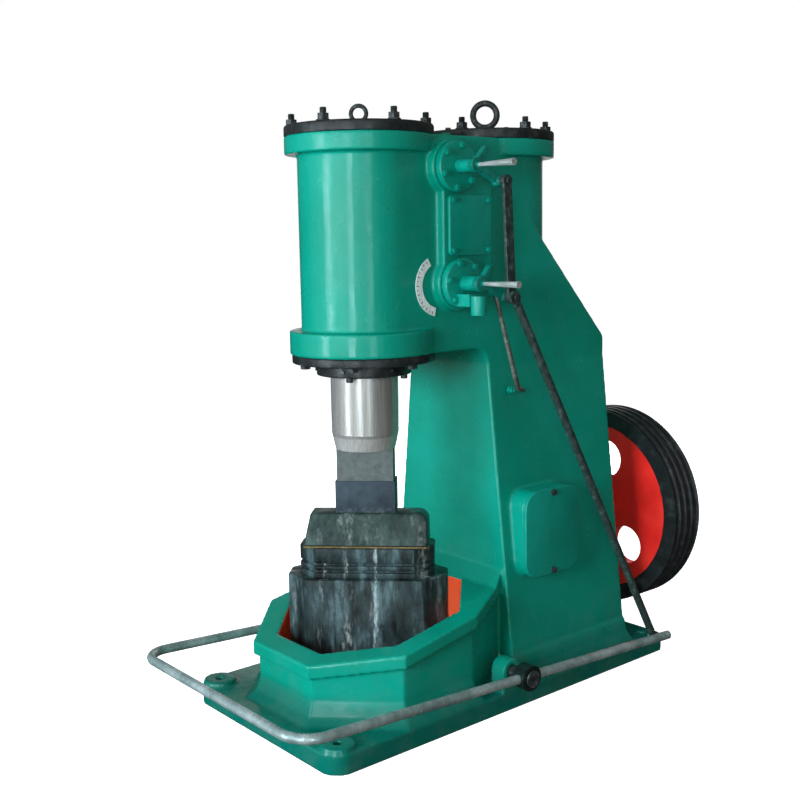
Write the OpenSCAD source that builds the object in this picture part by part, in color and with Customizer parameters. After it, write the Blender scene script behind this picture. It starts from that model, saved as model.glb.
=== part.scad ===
// Air forging hammer with two upright cylinders on one cast frame.
// Millimetres, Z up. The ram strikes along the Z axis, the operator stands on -Y,
// the valve gear is on +X and the flywheel is behind the column on +Y.

/* [Base] */
// Width of the base plate across the machine
base_w = 806; // [760:2:880]
// Reach of the base plate in front of the ram axis
base_front = 463; // [445:1:520]
// Reach of the base plate behind the ram axis
base_rear = 1120; // [1080:1:1160]
// Thickness of the base plate
base_t = 65; // [50:1:80]
// Radius of the base plate's corners
base_corner_r = 70; // [55:1:90]
// Corner radius at the rear of the base plate
base_rear_r = 24; // [16:1:40]
// Diameter of the raised seat round a hold-down bolt hole
seat_d = 110; // [90:1:120]
// Height of a bolt seat above the plate
seat_h = 16; // [8:1:24]
// Diameter of a hold-down bolt hole
hole_d = 28; // [22:1:36]
// Distance of a bolt hole from the plate's edges
hole_inset = 62; // [60:1:70]

/* [Anvil collar] */
// Width of the octagonal collar across its flats
collar_w = 752; // [720:2:780]
// Width of the collar where it runs into the column
collar_rear_w = 524; // [500:2:560]
// Width of the collar's opening across its flats
collar_opening = 590; // [570:2:620]
// How much further the opening reaches towards the column
opening_back = 25; // [15:1:30]
// Height of the collar's top at its front edge
collar_front_h = 259; // [230:1:290]
// Rise of the collar's top towards the column, in degrees
collar_rise = 10.5; // [6:0.5:13]
// Depth of the lip round the collar's top
lip_h = 46; // [30:1:60]
// Overhang of the lip over the collar's wall
lip_out = 18; // [8:1:26]
// Spread of the collar's and the column's skirts where they meet the base
skirt_out = 42; // [30:1:44]
// Height of the skirts above the base
skirt_h = 72; // [60:1:84]

/* [Column] */
// Distance from the ram axis to the column's front face
column_front = 381; // [380:1:400]
// Distance from the ram axis to the column's rear face
column_rear = 988; // [960:1:1010]
// Width of the column at floor level
column_foot_w = 656; // [620:2:690]
// Height at which the column's sides start to spread
spread_z = 1140; // [1090:5:1180]
// Height of the crease over the slope at the column's foot
crease_z = 440; // [425:1:460]
// Reach of that slope in front of the column's front face
foot_out = 52; // [35:1:60]
// Height at which the rear shoulder meets the rear face
shoulder_z = 1212; // [1180:1:1240]
// Slope of the rear shoulder, in degrees
shoulder_slope = 47.5; // [42:0.5:52]
// Rounding of the rear shoulder's lower edge
shoulder_r = 30; // [20:1:45]
// Radius in the corner over the throat
throat_r = 62; // [40:1:80]

/* [Cylinders] */
// Outside diameter of both cylinder barrels
barrel_d = 408; // [400:1:420]
// Bore of the working cylinder
bore_d = 336; // [320:1:345]
// Diameter of the flanges and covers
flange_d = 488; // [476:1:500]
// Distance between the two cylinders' axes
cylinder_pitch = 572; // [560:1:590]
// Height of the top flanges' upper face
top_z = 1916; // [1890:1:1940]
// Thickness of the top flanges
top_flange_t = 58; // [45:1:70]
// Thickness of the cylinder covers
cover_t = 34; // [26:1:42]
// Edge chamfer of the cylinder covers
cover_chamfer = 5; // [3:1:8]
// Height of the working cylinder's lower end
throat_z = 1212; // [1200:1:1230]
// Thickness of the lower flange
low_flange_t = 79; // [60:1:90]
// Diameter of the gland plate
gland_plate_d = 476; // [460:1:480]
// Thickness of the gland plate
gland_plate_t = 28; // [20:1:34]
// Diameter of the gland ring
gland_ring_d = 316; // [300:1:340]
// Depth of the gland ring below its plate
gland_ring_t = 42; // [30:1:50]

/* [Ram and dies] */
// Diameter of the ram
ram_d = 226; // [216:1:230]
// Height of the ram's shoulder with the dies closed
ram_foot_z = 891; // [880:1:900]
// Taper round the ram's lower end
ram_taper = 12; // [8:1:16]
// Height of that taper
ram_taper_h = 55; // [40:1:70]
// Height of the piston's top with the dies closed
piston_top_z = 1560; // [1540:1:1575]
// Height of the piston
piston_h = 130; // [100:1:150]
// Width of the ram's flattened end along the dies
tenon_w = 190; // [180:1:194]
// Depth of the ram's flattened end across the dies
tenon_d = 84; // [76:1:88]
// Height of the upper die
upper_die_h = 110; // [100:1:120]
// Length of the upper die's face
upper_die_w = 204; // [190:1:220]
// Width of the upper die's face
upper_die_d = 86; // [80:1:100]
// Turn of the dies from the machine's sides, in degrees
die_turn = 45; // [40:1:50]
// Height of the striking face
strike_z = 672; // [664:1:680]
// Gap between the closed dies
die_gap = 0.4; // [0.2:0.1:1]

/* [Anvil] */
// Length of the anvil block along the dies
anvil_w = 544; // [520:2:550]
// Width of the anvil block across the dies
anvil_d = 236; // [220:2:250]
// Corner chamfer of the anvil block
anvil_chamfer = 78; // [70:1:84]
// Height of the anvil block
anvil_h = 460; // [448:1:472]
// Height of the sow block
sow_h = 102; // [92:1:112]
// Length of the sow block along the dies
sow_w = 456; // [440:1:460]
// Width of the sow block across the dies
sow_d = 200; // [190:1:212]
// Corner chamfer of the sow block
sow_chamfer = 62; // [50:1:80]
// Height of each groove round the sow block
sow_groove_h = 10; // [6:1:12]
// Depth of each groove round the sow block
sow_groove_in = 8; // [4:1:12]
// Distance between the grooves round the sow block
sow_groove_pitch = 24; // [20:1:28]
// Length of the lower die's foot
lower_die_w = 418; // [400:1:425]
// Width of the lower die's face
lower_face_d = 86; // [80:1:100]
// Lean of the lower die's left end
lower_die_lean = 20; // [14:1:30]
// Rounding of the lower die's right end
lower_die_r = 34; // [20:1:45]
// Width of the lower die's foot
lower_die_d = 172; // [160:1:190]
// Thickness of the brass shim under the lower die
shim_t = 5; // [3:1:8]

/* [Valve gear] */
// Distance of the upper valve's axis behind the ram axis
upper_valve_y = 200; // [190:1:210]
// Height of the upper valve's axis
upper_valve_z = 1812; // [1790:1:1815]
// Distance of the lower valve's axis behind the ram axis
lower_valve_y = 220; // [210:1:230]
// Height of the lower valve's axis
lower_valve_z = 1438; // [1420:1:1450]
// Thickness of the valve chest on the frame's side
chest_t = 32; // [24:1:40]
// Width of the valve chest between the valves
chest_w = 220; // [210:2:240]
// Distance of the valve chest's middle behind the ram axis
chest_y = 262; // [255:1:270]
// Diameter of the valve covers
valve_cover_d = 164; // [150:1:170]
// Thickness of the valve covers
valve_cover_t = 26; // [20:1:32]
// Length of the valve spindles in front of their covers
spindle_l = 243; // [230:1:255]
// Diameter of the upper valve's spindle behind its crank
upper_spindle_d = 42; // [36:1:44]
// Diameter of the lower valve's spindle behind its crank
lower_spindle_d = 50; // [44:1:52]
// Diameter of the spindles inside the cranks
core_d = 24; // [22:1:26]
// Diameter of the spindles' tapered ends next to the cranks
neck_d = 12; // [10:1:14]
// Diameter of the spindles' tapered ends at their tips
tip_d = 22; // [20:1:24]
// Distance of the cranks from the valve covers
crank_out = 60; // [50:1:66]
// Thickness of the cranks
crank_t = 22; // [18:1:26]
// Diameter of the lower crank's hub
lower_hub_d = 54; // [48:1:58]
// Diameter of the upper crank's hub
upper_hub_d = 46; // [42:1:50]
// Distance from a spindle's axis to its crank pin
crank_r = 111; // [104:1:118]
// Slope of the cranks below the horizontal at rest, in degrees
crank_drop = 25.6; // [22:0.2:29]
// Width of the cranks' arms
arm_w = 26; // [22:1:30]
// Length of the boss that carries the crank pin
boss_l = 20; // [14:1:24]
// Diameter of the boss that carries the crank pin
boss_d = 30; // [26:1:34]
// Length of the short ear on each crank
ear_r = 64; // [58:1:70]
// Width of the short ear
ear_w = 22; // [18:1:26]
// Slope of the short ear above the horizontal at rest, in degrees
ear_rise = 50; // [44:1:56]
// Diameter of the crank pins and of the treadle's rod pin
pin_d = 14; // [12:1:16]
// Width of the flat valve link
link_w = 36; // [30:1:38]
// Thickness of the flat valve link
link_t = 12; // [10:1:14]
// Diameter of the pedal rod
rod_d = 28; // [24:1:30]
// Width of the eyes on the pedal rod
rod_eye_t = 12; // [10:1:14]
// Place of the hand lever along the lower crank's arm, as a share of its length
hand_share = 0.66; // [0.6:0.01:0.67]
// Length of the hand lever
hand_lever_l = 344; // [320:1:360]
// Slope of the hand lever below the horizontal, in degrees
hand_lever_drop = 72; // [68:0.5:76]
// Diameter of the hand lever
hand_lever_d = 14; // [12:1:15]
// Length of the hand lever's bent tip
hand_tip_l = 30; // [24:1:36]
// Diameter of the hand lever's bent tip
hand_tip_d = 11; // [8:1:11]
// Length of the stop block under the lower spindle
stop_l = 60; // [50:1:64]
// Width of the stop block
stop_w = 58; // [50:1:64]
// Height of the stop block
stop_h = 40; // [34:1:48]
// Diameter of the plunger housing on the stop block
plunger_d = 50; // [44:1:54]
// Height of the plunger housing
plunger_h = 62; // [54:1:68]

/* [Treadle] */
// Distance of the treadle's front bar from the ram axis
treadle_front = 629; // [600:1:660]
// Distance of the treadle's side bars from the base plate's sides
treadle_out = 67; // [58:1:76]
// Diameter of the treadle bar
treadle_d = 32; // [28:1:36]
// Radius of the treadle's front bends
treadle_bend_r = 95; // [70:1:120]
// Distance of the treadle's pivot behind the ram axis
pivot_y = 291; // [280:1:300]
// Height of the treadle's pivot
pivot_z = 137; // [130:1:145]
// Upward set of the treadle's front at rest, in degrees
treadle_rise = 3.3; // [2.5:0.1:4]
// Length of the treadle's rear arm behind its pivot
rear_arm_l = 766; // [745:1:790]
// Distance of the pedal rod's pin behind the pivot
rod_pin_l = 709; // [690:1:725]
// Diameter of the treadle's hubs
treadle_hub_d = 86; // [80:1:92]
// Length of the treadle's hubs
treadle_hub_l = 46; // [40:1:56]
// Diameter of the treadle's pivot pins
pivot_d = 40; // [34:1:44]
// Thickness of the lugs that hold the pivot pins
lug_t = 62; // [55:1:66]
// Depth of a pivot pin in its lug
lug_seat = 50; // [40:1:54]

/* [Flywheel] */
// Diameter of the flywheel
wheel_d = 792; // [760:2:800]
// Height of the crankshaft's axis
shaft_z = 490; // [480:1:500]
// Distance of the flywheel's front face behind the column's rear face
wheel_out = 207; // [195:1:220]
// Width of the flywheel's rim
wheel_w = 151; // [140:1:160]
// Radial thickness of the flywheel's rim
rim_t = 56; // [46:1:62]
// Thickness of the flywheel's web
web_t = 46; // [36:1:54]
// Depth of the web's face behind the rim's front
web_in = 5; // [3:1:10]
// Number of V belt grooves in the rim
groove_n = 4; // [3:1:5]
// Depth of a belt groove
groove_h = 17; // [12:1:20]
// Number of holes through the web
web_hole_n = 3; // [3:1:5]
// Diameter of a hole through the web
web_hole_d = 150; // [140:1:160]
// Distance of the web's holes from the wheel's axis
web_hole_r = 205; // [195:1:215]
// Turn of the web's holes at rest, in degrees
web_hole_turn = 43; // [0:1:120]
// Diameter of the flywheel's hub
wheel_hub_d = 170; // [150:1:190]
// Diameter of the crankshaft
shaft_d = 96; // [80:1:110]
// Diameter of the crankshaft's rear bearing cap
cap_d = 300; // [270:1:320]
// Thickness of the bearing cap
cap_t = 46; // [36:1:56]

/* [Fittings] */
// Outside diameter of the rear cover's eyebolt ring
rear_eye_d = 106; // [96:1:116]
// Bar diameter of the rear cover's eyebolt ring
rear_eye_bar = 22; // [18:1:26]
// Outside diameter of the front cover's eyebolt ring
front_eye_d = 64; // [56:1:72]
// Bar diameter of the front cover's eyebolt ring
front_eye_bar = 14; // [12:1:16]
// Length of the hatch boss on the column's side
hatch_w = 276; // [260:1:300]
// Height of the hatch boss
hatch_h = 306; // [290:2:320]
// Corner radius of the hatch boss
hatch_r = 60; // [45:1:75]
// Distance of the hatch's middle behind the ram axis
hatch_y = 568; // [555:1:585]
// Height of the hatch's middle
hatch_z = 558; // [545:1:575]
// Distance of the hatch cover's face from the machine's middle
hatch_face = 335; // [320:1:345]
// Thickness of the hatch cover
hatch_t = 12; // [8:1:16]

/* [Hidden] */
$fn = 96;
overrun = 1;
slip = 0.5;
seat_gap = 0.3;
open_slip = 3.7;
link_gap = 3;
stop_gap = 6;
plug_gap = 40;
half_turn = 180;
eighth = 45;
side_x = barrel_d / 2;
cover_z = top_z;
flare_share = 0.35;
spread_share = (column_foot_w / 2 - side_x) / spread_z;
foot_z = collar_front_h + (collar_w / 2 + column_front - foot_out) * tan(collar_rise);
valve_x = side_x + chest_t + valve_cover_t;
crank_x = valve_x + crank_out + 2 * seat_gap;
link_x = crank_x + crank_t + boss_l + link_gap;
rod_eye_x = link_x + link_t + link_gap;
pin_head_d = 24;
pin_head_t = 6;
eye_d = 38;
head_eye_d = eye_d + 2 * open_slip;
treadle_x = base_w / 2 + treadle_out;
hub_in_x = treadle_x - treadle_hub_l / 2;
rod_foot_x = treadle_x - treadle_d / 2 - link_gap - rod_eye_t;
crank_pin = [crank_r * cos(crank_drop), -crank_r * sin(crank_drop)];
rod_foot = [pivot_y + rod_pin_l * cos(treadle_rise), pivot_z - rod_pin_l * sin(treadle_rise)];
rod_head = [lower_valve_y + crank_pin[0], lower_valve_z + crank_pin[1]];
wheel_front = column_rear + wheel_out;
wheel_back = wheel_front + wheel_w;

// Cylinder along X from the height of its start
module along_x(length, d) {
    rotate([0, 90, 0]) cylinder(h = length, d = d);
}

// Cylinder or cone along Y
module along_y(length, d1, d2) {
    rotate([-90, 0, 0]) cylinder(h = length, d1 = d1, d2 = d2);
}

// Outline in the YZ plane, centred on X = 0
module side_slab(width) {
    translate([-width / 2, 0, 0]) rotate([90, 0, 90]) linear_extrude(width) children();
}

// Rounded rectangle about its centre
module rounded(w, h, r) {
    square([w - 2 * r, h], center = true);
    square([w, h - 2 * r], center = true);
    for (x = [-1, 1], y = [-1, 1]) translate([x * (w / 2 - r), y * (h / 2 - r)]) circle(r);
}

// Everything under the collar's sloping top, lowered by drop
module under_collar_top(drop) {
    translate([0, -collar_w / 2, collar_front_h - drop]) rotate([collar_rise, 0, 0])
        translate([-base_w / 2, -base_front, -2 * base_w]) cube([base_w, base_front + base_rear, 2 * base_w]);
}

module base_plate() {
    depth = base_front + base_rear;
    linear_extrude(base_t) {
        translate([0, base_rear - depth / 2]) rounded(base_w, depth, base_corner_r);
        translate([0, base_rear - depth / 4]) rounded(base_w, depth / 2, base_rear_r);
    }
    for (x = [-1, 1]) translate([x * (base_w / 2 - hole_inset), -base_front + hole_inset, 0])
        cylinder(h = base_t + seat_h, d = seat_d);
}

// Collar from above: an octagon that stays wide where it runs into the column
module collar_outline(inset) {
    half = collar_w / 2 - inset;
    corner = half * tan(eighth / 2);
    rear = collar_rear_w / 2 - inset;
    rear_y = column_front + overrun;
    polygon([
        [-corner, -half], [corner, -half], [half, -corner], [half, corner],
        [rear, rear_y], [-rear, rear_y], [-half, corner], [-half, -corner]
    ]);
}

// Opening from above: an octagon drawn out towards the column
module opening_outline() {
    half = collar_opening / 2;
    corner = half * tan(eighth / 2);
    back = half + opening_back;
    bend = corner + opening_back;
    polygon([
        [-corner, -half], [corner, -half], [half, -corner], [half, bend],
        [corner, back], [-corner, back], [-half, bend], [-half, -corner]
    ]);
}

module collar() {
    wall_w = collar_w - 2 * lip_out;
    intersection() {
        linear_extrude(throat_z) collar_outline(lip_out);
        under_collar_top(lip_h / 2);
    }
    difference() {
        intersection() {
            linear_extrude(throat_z) collar_outline(0);
            under_collar_top(0);
        }
        under_collar_top(lip_h);
    }
    // Hollow flare into the base, in two slopes
    bend_w = wall_w + 2 * skirt_out * flare_share;
    translate([0, 0, base_t]) rotate(eighth / 2) {
        cylinder(h = skirt_h * flare_share, d1 = (wall_w + 2 * skirt_out) / cos(eighth / 2),
            d2 = bend_w / cos(eighth / 2), $fn = 8);
        translate([0, 0, skirt_h * flare_share]) cylinder(h = skirt_h * (1 - flare_share),
            d1 = bend_w / cos(eighth / 2), d2 = wall_w / cos(eighth / 2), $fn = 8);
    }
}

// Hollow flare of the column into the base, in two slopes
module column_skirt() {
    mid_z = base_t + skirt_h * flare_share;
    mid_out = skirt_out * flare_share;
    end_z = base_t + skirt_h;
    half = column_foot_w / 2 - base_t * spread_share;
    intersection() {
        side_slab(base_w) polygon([
            [column_front - skirt_out, 0], [column_front - skirt_out, base_t],
            [column_front - mid_out, mid_z],
            [column_front, end_z], [column_rear, end_z], [column_rear, 0]
        ]);
        rotate([90, 0, 0]) translate([0, 0, -base_rear]) linear_extrude(base_rear) polygon([
            [-half - skirt_out, 0], [-half - skirt_out, base_t], [-half - mid_out, mid_z], [-half, end_z],
            [half, end_z], [half + mid_out, mid_z], [half + skirt_out, base_t], [half + skirt_out, 0]
        ]);
    }
}

// Slope between the collar's top and the column's front face
module column_foot() intersection() {
    linear_extrude(crease_z) collar_outline(0);
    side_slab(collar_w) polygon([
        [column_front - foot_out, foot_z - lip_h / 2], [column_front - foot_out, foot_z],
        [column_front, crease_z],
        [column_front + overrun, crease_z], [column_front + overrun, foot_z - lip_h / 2]
    ]);
}

// Side view of the column: front face, throat and sloping rear shoulder
module column_outline() {
    roof_y = cylinder_pitch;
    roof_z = shoulder_z + (column_rear - roof_y) * tan(shoulder_slope);
    cut = shoulder_r * tan((90 - shoulder_slope) / 2);
    polygon([
        [column_front, 0], [column_front, throat_z],
        [roof_y - side_x, throat_z], [roof_y, roof_z],
        [column_rear - cut * cos(shoulder_slope), shoulder_z + cut * sin(shoulder_slope)],
        [column_rear, shoulder_z - cut], [column_rear, 0]
    ]);
    translate([column_rear - shoulder_r, shoulder_z - cut]) circle(shoulder_r);
}

// Front view of the column: upright at the top, spreading towards the floor
module column_front_outline() {
    polygon([
        [-column_foot_w / 2, 0], [-side_x, spread_z], [-side_x, top_z],
        [side_x, top_z], [side_x, spread_z], [column_foot_w / 2, 0]
    ]);
}

module column() {
    intersection() {
        side_slab(column_foot_w) column_outline();
        rotate([90, 0, 0]) translate([0, 0, -column_rear - overrun])
            linear_extrude(column_rear + overrun) column_front_outline();
    }
    // Hollow corner between the overhang and the column
    side_slab(barrel_d) translate([column_front - throat_r, throat_z - throat_r]) difference() {
        square(throat_r);
        circle(throat_r);
    }
}

// The two barrels with the flat-sided web between them
module cylinder_block() {
    block_h = top_z - throat_z;
    translate([0, 0, throat_z]) {
        cylinder(h = block_h, d = barrel_d);
        translate([0, cylinder_pitch, 0]) cylinder(h = block_h, d = barrel_d);
        translate([-side_x, 0, 0]) cube([barrel_d, cylinder_pitch, block_h]);
        cylinder(h = low_flange_t, d = flange_d);
    }
    for (y = [0, cylinder_pitch])
        translate([0, y, top_z - top_flange_t]) cylinder(h = top_flange_t, d = flange_d);
}

// Raised chest on the right side that carries the two rotary valves
module valve_chest() {
    ring_d = valve_cover_d + seat_h;
    translate([side_x - overrun, 0, 0]) {
        for (p = [[upper_valve_y, upper_valve_z], [lower_valve_y, lower_valve_z]])
            translate([0, p[0], p[1]]) along_x(chest_t + overrun, ring_d);
        translate([0, chest_y - chest_w / 2, lower_valve_z])
            cube([chest_t + overrun, chest_w, upper_valve_z - lower_valve_z]);
    }
}

// Upright boss on the column's spreading side that the hatch cover closes
module hatch_boss() translate([0, hatch_y, hatch_z])
    rotate([90, 0, 90]) linear_extrude(hatch_face - hatch_t) rounded(hatch_w, hatch_h, hatch_r);

// Lugs on the base plate that hold the treadle's pivot pins
module pivot_lugs() {
    for (s = [-1, 1]) translate([s * base_w / 2, pivot_y, 0]) mirror([s < 0 ? 1 : 0, 0, 0])
        translate([-lug_t, 0, 0]) {
            translate([0, -treadle_hub_d / 2, 0]) cube([lug_t, treadle_hub_d, pivot_z]);
            translate([0, 0, pivot_z]) along_x(lug_t, treadle_hub_d);
        }
}

module frame_casting() color("seagreen") difference() {
    union() {
        base_plate();
        collar();
        column();
        column_foot();
        column_skirt();
        cylinder_block();
        valve_chest();
        hatch_boss();
        pivot_lugs();
    }
    // Opening for the anvil
    translate([0, 0, -overrun]) linear_extrude(throat_z - overrun) opening_outline();
    // Bore of the working cylinder
    translate([0, 0, throat_z - overrun]) cylinder(h = top_z - throat_z + 2 * overrun, d = bore_d);
    // Hold-down bolt holes
    for (x = [-1, 1], y = [-base_front + hole_inset, base_rear - hole_inset])
        translate([x * (base_w / 2 - hole_inset), y, -overrun])
            cylinder(h = base_t + seat_h + 2 * overrun, d = hole_d);
    // Pivot pin holes in the lugs
    for (s = [-1, 1]) translate([s * (base_w / 2 - lug_seat), pivot_y, pivot_z]) mirror([s < 0 ? 1 : 0, 0, 0])
        along_x(lug_seat + overrun, pivot_d + seat_gap);
    // Crankshaft hole in the rear wall
    translate([0, column_rear + overrun, shaft_z]) rotate([90, 0, 0])
        cylinder(h = cap_t + overrun, d = shaft_d + 2 * slip);
}

module cylinder_cover() {
    rotate_extrude() polygon([
        [0, 0], [flange_d / 2, 0], [flange_d / 2, cover_t - cover_chamfer],
        [flange_d / 2 - cover_chamfer, cover_t], [0, cover_t]
    ]);
}

module front_cylinder_cover() color("dimgray") translate([0, 0, cover_z]) cylinder_cover();

module rear_cylinder_cover() color("dimgray") translate([0, cylinder_pitch, cover_z]) cylinder_cover();

// Ring on a round collar, standing on a cover
module eyebolt(ring_d, bar_d, turn) {
    collar_t = bar_d / 2;
    cylinder(h = collar_t, d = 2 * bar_d);
    translate([0, 0, collar_t + ring_d / 2 - slip]) rotate([90, 0, turn])
        rotate_extrude() translate([(ring_d - bar_d) / 2, 0]) circle(d = bar_d, $fn = 32);
    cylinder(h = collar_t + bar_d / 2, d = bar_d);
}

module front_eyebolt() color("dimgray") translate([0, 0, cover_z + cover_t])
    eyebolt(front_eye_d, front_eye_bar, die_turn);

module rear_eyebolt() color("dimgray") translate([0, cylinder_pitch, cover_z + cover_t])
    eyebolt(rear_eye_d, rear_eye_bar, die_turn);

module gland_plate() color("dimgray") translate([0, 0, throat_z - gland_plate_t]) difference() {
    cylinder(h = gland_plate_t, d = gland_plate_d);
    translate([0, 0, -overrun]) cylinder(h = gland_plate_t + 2 * overrun, d = ram_d + 2 * slip);
}

module gland_ring() color("dimgray") translate([0, 0, throat_z - gland_plate_t - gland_ring_t]) difference() {
    cylinder(h = gland_ring_t, d = gland_ring_d);
    translate([0, 0, -overrun]) cylinder(h = gland_ring_t + 2 * overrun, d = ram_d + 2 * slip);
}

module ram() color("silver") {
    piston_z = piston_top_z - piston_h;
    rotate_extrude() polygon([
        [0, ram_foot_z], [ram_d / 2 - ram_taper, ram_foot_z], [ram_d / 2, ram_foot_z + ram_taper_h],
        [ram_d / 2, piston_z], [bore_d / 2 - slip, piston_z], [bore_d / 2 - slip, piston_top_z],
        [0, piston_top_z]
    ]);
    tenon_h = ram_foot_z - strike_z - die_gap - upper_die_h;
    rotate(die_turn) translate([-tenon_w / 2, -tenon_d / 2, ram_foot_z - tenon_h])
        cube([tenon_w, tenon_d, tenon_h + overrun]);
}

module upper_die() color("dimgray") rotate(die_turn)
    translate([-upper_die_w / 2, -upper_die_d / 2, strike_z + die_gap])
        cube([upper_die_w, upper_die_d, upper_die_h]);

// Lower die: sides draw in from its foot to the face, one end leans and the other is rounded
module lower_die() color("dimgray") rotate(die_turn) intersection() {
    die_z = anvil_h + sow_h + shim_t;
    end_x = lower_die_w / 2 - lower_die_r;
    end_z = strike_z - lower_die_r;
    translate([0, lower_die_d / 2, 0]) rotate([90, 0, 0]) linear_extrude(lower_die_d) {
        polygon([
            [-lower_die_w / 2, die_z], [lower_die_w / 2, die_z], [lower_die_w / 2, end_z],
            [end_x, end_z], [end_x, strike_z], [-lower_die_w / 2 + lower_die_lean, strike_z]
        ]);
        translate([end_x, end_z]) circle(lower_die_r);
    }
    translate([-lower_die_w / 2 - overrun, 0, 0]) rotate([90, 0, 90])
        linear_extrude(lower_die_w + 2 * overrun) polygon([
            [-lower_die_d / 2, die_z], [lower_die_d / 2, die_z],
            [lower_face_d / 2, strike_z], [-lower_face_d / 2, strike_z]
        ]);
}

module die_shim() color("goldenrod") rotate(die_turn)
    translate([-lower_die_w / 2, -lower_die_d / 2, anvil_h + sow_h]) cube([lower_die_w, lower_die_d, shim_t]);

// Rectangle about its centre with its four corners cut off
module cut_corners(length, width, cut) {
    w = length / 2;
    d = width / 2;
    polygon([
        [-w + cut, -d], [w - cut, -d], [w, -d + cut], [w, d - cut],
        [w - cut, d], [-w + cut, d], [-w, d - cut], [-w, -d + cut]
    ]);
}

// Sow block from above, drawn in by inset
module sow_outline(inset) {
    cut_corners(sow_w - 2 * inset, sow_d - 2 * inset, sow_chamfer - inset * (2 - sqrt(2)));
}

// Sow block with two grooves round its foot
module sow_block() color("dimgray") translate([0, 0, anvil_h]) rotate(die_turn) difference() {
    linear_extrude(sow_h) sow_outline(0);
    for (i = [1, 2]) translate([0, 0, i * sow_groove_pitch - sow_groove_h / 2]) linear_extrude(sow_groove_h)
        difference() {
            sow_outline(-overrun);
            sow_outline(sow_groove_in);
        }
}

module anvil_block() color("slategray") rotate(die_turn) linear_extrude(anvil_h)
    cut_corners(anvil_w, anvil_d, anvil_chamfer);

// Round cover that the valve's spindle comes through
module valve_cover() along_x(valve_cover_t, valve_cover_d);

module upper_valve_cover() color("seagreen")
    translate([side_x + chest_t, upper_valve_y, upper_valve_z]) valve_cover();

module lower_valve_cover() color("seagreen")
    translate([side_x + chest_t, lower_valve_y, lower_valve_z]) valve_cover();

module valve_chest_cover() color("seagreen") {
    free_h = upper_valve_z - lower_valve_z - valve_cover_d;
    translate([side_x + chest_t, chest_y, (upper_valve_z + lower_valve_z) / 2])
        rotate([90, 0, 90]) linear_extrude(valve_cover_t / 2)
            rounded(chest_w - 2 * seat_h, free_h - seat_h, seat_h);
}

// Spindle with a shoulder, a core inside the crank and a tapered outer end
module valve_spindle(shoulder_d) translate([valve_x + seat_gap, 0, 0]) {
    core_l = crank_t + 2 * seat_gap;
    along_x(crank_out, shoulder_d);
    translate([crank_out - overrun, 0, 0]) along_x(core_l + overrun, core_d);
    translate([crank_out + core_l - overrun, 0, 0]) rotate([0, 90, 0])
        cylinder(h = spindle_l - crank_out - core_l + overrun, d1 = neck_d, d2 = tip_d);
}

module upper_valve_spindle() color("lightseagreen") translate([0, upper_valve_y, upper_valve_z])
    valve_spindle(upper_spindle_d);

module lower_valve_spindle() color("lightseagreen") translate([0, lower_valve_y, lower_valve_z])
    valve_spindle(lower_spindle_d);

// Flat crank on a spindle: a long arm with a headed pin along X, and a short ear
module valve_crank(hub_d, pin_l) translate([crank_x, 0, 0]) {
    rotate([90, 0, 90]) linear_extrude(crank_t) difference() {
        union() {
            circle(d = hub_d);
            translate(crank_pin) circle(d = eye_d);
            rotate(-crank_drop) translate([0, -arm_w / 2]) square([crank_r, arm_w]);
            rotate(ear_rise) translate([0, -ear_w / 2]) square([ear_r, ear_w]);
            rotate(ear_rise) translate([ear_r, 0]) circle(d = ear_w);
        }
        circle(d = core_d + 2 * seat_gap);
    }
    translate([crank_t - overrun, crank_pin[0], crank_pin[1]]) {
        along_x(boss_l + overrun, boss_d);
        along_x(boss_l + pin_l + 2 * overrun, pin_d);
        translate([boss_l + pin_l + overrun, 0, 0]) along_x(pin_head_t, pin_head_d);
    }
}

module upper_crank() color("lightseagreen") translate([0, upper_valve_y, upper_valve_z])
    valve_crank(upper_hub_d, 2 * link_gap + link_t);

module lower_crank() color("lightseagreen") translate([0, lower_valve_y, lower_valve_z])
    valve_crank(lower_hub_d, 3 * link_gap + link_t + rod_eye_t);

// Block on the lower valve's cover with an upright plunger housing
module valve_stop() color("lightseagreen")
    translate([valve_x, lower_valve_y, lower_valve_z - lower_hub_d / 2 - stop_gap]) {
        translate([0, -stop_w * 2 / 3, -stop_h]) cube([stop_l, stop_w, stop_h]);
        translate([stop_l + plunger_d / 4, -stop_w / 6, -plunger_h - stop_gap])
            cylinder(h = plunger_h, d = plunger_d);
    }

// Thin bar under the lower crank's arm, with a bent tip
module hand_lever() color("silver")
        translate([crank_x + crank_t / 2, lower_valve_y, lower_valve_z]) difference() {
    translate([0, hand_share * crank_pin[0], hand_share * crank_pin[1]]) rotate([-hand_lever_drop, 0, 0]) {
        along_y(hand_lever_l, hand_lever_d, hand_lever_d);
        translate([0, hand_lever_l - hand_lever_d / 2, 0]) rotate([eighth, 0, 0])
            along_y(hand_tip_l, hand_tip_d, hand_tip_d);
    }
    rotate([-crank_drop, 0, 0]) translate([-crank_t / 2, 0, -arm_w / 2 - seat_gap])
        cube([crank_t, crank_r, arm_w + 2 * seat_gap]);
}

// Flat bar that ties the two cranks together
module valve_link() color("dimgray") {
    run = upper_valve_y - lower_valve_y;
    rise = upper_valve_z - lower_valve_z;
    translate([link_x, rod_head[0], rod_head[1]]) rotate([90, 0, 90]) linear_extrude(link_t) difference() {
        union() {
            circle(d = eye_d);
            translate([run, rise]) circle(d = eye_d);
            rotate(atan2(-run, rise)) translate([-link_w / 2, 0]) square([link_w, norm([run, rise])]);
        }
        circle(d = pin_d + 2 * slip);
        translate([run, rise]) circle(d = pin_d + 2 * slip);
    }
}

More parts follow.
